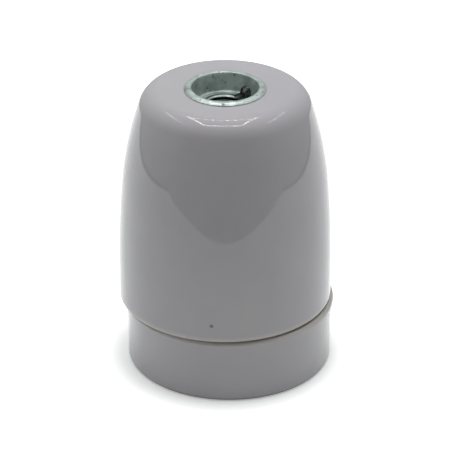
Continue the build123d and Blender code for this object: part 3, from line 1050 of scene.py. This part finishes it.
def glowing(name, colour, strength, centre=None, dark_reach=0.0, bright_reach=1.0):
    """Emission, even or growing from none at dark_reach from a centre to full at bright_reach from it."""
    material = bpy.data.materials.new(name)
    material.use_nodes = True
    tree = material.node_tree
    tree.nodes.clear()
    glow = tree.nodes.new("ShaderNodeEmission")
    glow.inputs["Color"].default_value = (*colour, 1.0)
    glow.inputs["Strength"].default_value = strength
    end = tree.nodes.new("ShaderNodeOutputMaterial")
    tree.links.new(glow.outputs["Emission"], end.inputs["Surface"])
    if centre is not None:
        place = tree.nodes.new("ShaderNodeTexCoord")
        gap = tree.nodes.new("ShaderNodeVectorMath")
        gap.operation = "DISTANCE"
        gap.inputs[1].default_value = centre
        levels = tree.nodes.new("ShaderNodeMapRange")
        levels.inputs["From Min"].default_value = dark_reach
        levels.inputs["From Max"].default_value = bright_reach
        levels.inputs["To Max"].default_value = strength
        tree.links.new(place.outputs["Object"], gap.inputs[0])
        tree.links.new(gap.outputs["Value"], levels.inputs["Value"])
        tree.links.new(levels.outputs["Result"], glow.inputs["Strength"])
    return material


def panel(name, corners, material, lights_up=True, mirrored=True):
    """Flat stage piece that the camera itself never sees. It may light things, be mirrored, or both."""
    mesh = bpy.data.meshes.new(name)
    faces = [tuple(range(at, at + 4)) for at in range(0, len(corners), 4)]
    mesh.from_pydata(corners, [], faces)
    mesh.materials.append(material)
    piece = bpy.data.objects.new(name, mesh)
    bpy.context.scene.collection.objects.link(piece)
    piece.visible_camera = False
    piece.visible_shadow = False
    piece.visible_diffuse = lights_up
    piece.visible_glossy = mirrored
    return piece


def wall_corners(start, end, low, high):
    """Corners of an upright wall between two floor points."""
    return [(*start, low), (*end, low), (*end, high), (*start, high)]


def rectangle(left, near, right, far, height):
    """Corners of a level rectangle."""
    return [(left, near, height), (right, near, height), (right, far, height), (left, far, height)]


def make_tent():
    """Pale walls, a front opening that is dark in its middle, light from above, mirrored cloth and lamps."""
    side, back, front, top = tent_side, tent_back, -tent_front, tent_height
    white = (1.0, 1.0, 1.0)
    corners = wall_corners((-side, front), (-side, back), seam_height, top)
    corners += wall_corners((-side, back), (side, back), seam_height, top)
    corners += wall_corners((side, back), (side, front), seam_height, top)
    panel("tent_walls", corners, glowing("tent_wall", (0.97, 1.0, 0.99), wall_glow))
    corners = wall_corners((-side, front), (-side, back), 0, seam_height)
    corners += wall_corners((-side, back), (side, back), 0, seam_height)
    corners += wall_corners((side, back), (side, front), 0, seam_height)
    panel("tent_seam", corners, glowing("tent_seam", white, 0.0))
    opening = glowing(
        "tent_front", white, front_glow, (0, front, opening_height), opening_dark_reach, opening_bright_reach
    )
    panel("tent_front", wall_corners((-side, front), (side, front), 0, top), opening)
    ceiling = rectangle(-side, front, side, back, top)
    panel("tent_ceiling", ceiling, glowing("tent_ceiling", white, ceiling_light), mirrored=False)
    cloth = rectangle(-side, front, side, back, top - cloth_drop)
    panel("tent_cloth", cloth, glowing("tent_cloth", white, cloth_glow), lights_up=False)
    low = top - lamps_drop
    half = lamp_side / 2
    corners = []
    for y in (lamps_near, lamps_far):
        for x in np.arange(lamps_left, lamps_right + half, lamp_pitch):
            corners += rectangle(x - half, y - lamp_reach, x + half, y + lamp_reach, low)
    for x in (lamps_left, lamps_right):
        corners += rectangle(x - half, lamps_near, x + half, lamps_far, low)
    panel("lamp_frame", corners, glowing("lamp", white, lamp_glow), lights_up=False)
    corners = []
    for x in (-edge_glow_side, edge_glow_side):
        corners += rectangle(x - edge_glow_width / 2, 0, x + edge_glow_width / 2, side, low)
    panel("edge_glow", corners, glowing("edge_glow", white, edge_glow), lights_up=False)


def seen_rays(tree):
    """1 for camera, glossy and transmission rays, and 0 for those that carry light to a surface."""
    path = tree.nodes.new("ShaderNodeLightPath")
    seen = path.outputs["Is Camera Ray"]
    for ray in ("Is Glossy Ray", "Is Transmission Ray"):
        either = tree.nodes.new("ShaderNodeMath")
        either.operation = "MAXIMUM"
        tree.links.new(seen, either.inputs[0])
        tree.links.new(path.outputs[ray], either.inputs[1])
        seen = either.outputs["Value"]
    return seen


def make_floor():
    """White paper floor that keeps the holder's shadow.

    It is a lit surface with plain white added for camera and mirrored rays, less of it close round the foot,
    which paints the shadow there darker.
    """
    material = bpy.data.materials.new("floor")
    material.use_nodes = True
    tree = material.node_tree
    lit = tree.nodes["Principled BSDF"]
    lit.inputs["Base Color"].default_value = (0.80, 0.82, 0.81, 1.0)
    lit.inputs["Roughness"].default_value = 0.6
    lit.inputs["Specular IOR Level"].default_value = 0.2
    place = tree.nodes.new("ShaderNodeTexCoord")
    distance = tree.nodes.new("ShaderNodeVectorMath")
    distance.operation = "LENGTH"
    # Painted shadow: less white close round the foot darkens the floor there beyond its own shadow
    white = tree.nodes.new("ShaderNodeMapRange")
    white.inputs["From Min"].default_value = lip_radius
    white.inputs["From Max"].default_value = painted_shadow_spread * lip_radius
    white.inputs["To Min"].default_value = floor_white_in_painted_shadow
    white.inputs["To Max"].default_value = floor_white_far
    share = tree.nodes.new("ShaderNodeMath")
    share.operation = "MULTIPLY"
    glow = tree.nodes.new("ShaderNodeEmission")
    both = tree.nodes.new("ShaderNodeAddShader")
    tree.links.new(place.outputs["Object"], distance.inputs[0])
    tree.links.new(distance.outputs["Value"], white.inputs["Value"])
    tree.links.new(seen_rays(tree), share.inputs[0])
    tree.links.new(white.outputs["Result"], share.inputs[1])
    tree.links.new(share.outputs["Value"], glow.inputs["Strength"])
    tree.links.new(lit.outputs["BSDF"], both.inputs[0])
    tree.links.new(glow.outputs["Emission"], both.inputs[1])
    tree.links.new(both.outputs["Shader"], tree.nodes["Material Output"].inputs["Surface"])
    mesh = bpy.data.meshes.new("floor")
    corners = rectangle(-floor_half, -floor_half, floor_half, floor_half, -floor_gap)
    mesh.from_pydata(corners, [], [(0, 1, 2, 3)])
    mesh.materials.append(material)
    floor = bpy.data.objects.new("floor", mesh)
    bpy.context.scene.collection.objects.link(floor)


def make_world():
    """White to the camera and in reflections, and a weak even light for everything else."""
    world = bpy.data.worlds.new("studio")
    world.use_nodes = True
    tree = world.node_tree
    background = tree.nodes["Background"]
    background.inputs["Color"].default_value = (1.0, 1.0, 1.0, 1.0)
    strength = tree.nodes.new("ShaderNodeMapRange")
    strength.inputs["To Min"].default_value = world_light
    strength.inputs["To Max"].default_value = 1.0
    tree.links.new(seen_rays(tree), strength.inputs["Value"])
    tree.links.new(strength.outputs["Result"], background.inputs["Strength"])
    bpy.context.scene.world = world


def make_camera():
    """Camera at the photograph's viewing angle."""
    data = bpy.data.cameras.new("camera")
    data.sensor_width = sensor_width
    data.lens = camera_lens
    data.clip_start = 0.01
    camera = bpy.data.objects.new("camera", data)
    camera.location = camera_place
    camera.rotation_euler = (camera_pitch, 0, 0)
    bpy.context.scene.collection.objects.link(camera)
    bpy.context.scene.camera = camera


clouds = clouds_group()
specks = specks_group()
glaze = porcelain(clouds, specks)
zinc = metal(
    "zinc_plate", clouds, specks, metallic=0.72,
    dark=(0.37, 0.435, 0.415), light=(0.58, 0.66, 0.63), spot=(0.12, 0.15, 0.15), spots=0.12,
    roughness=(0.30, 0.50), relief=0.000005, nick=nick_place,
)
steel = metal(
    "dark_steel", clouds, specks, metallic=1.0,
    dark=(0.10, 0.11, 0.11), light=(0.22, 0.24, 0.24), spot=(0.05, 0.05, 0.05), spots=0.12,
    roughness=(0.20, 0.40), relief=0.000004,
)
brass = metal(
    "brass", clouds, specks, metallic=1.0,
    dark=(0.60, 0.43, 0.19), light=(0.76, 0.58, 0.30), spot=(0.30, 0.20, 0.09), spots=0.06,
    roughness=(0.20, 0.38), relief=0.000003,
)
bronze = metal(
    "bronze", clouds, specks, metallic=1.0,
    dark=(0.58, 0.33, 0.17), light=(0.70, 0.43, 0.24), spot=(0.26, 0.13, 0.07), spots=0.05,
    roughness=(0.22, 0.36), relief=0.000003,
)

make_dome(glaze)
make_base(glaze)
make_bush(zinc)
make_lock_screw(steel)
make_nut(zinc)
make_washer(zinc)
make_screws(brass, zinc)
make_shell(brass)
make_plain_metal(brass, bronze, zinc)

make_floor()
make_world()
make_tent()
make_camera()

scene = bpy.context.scene
scene.view_settings.view_transform = "Standard"
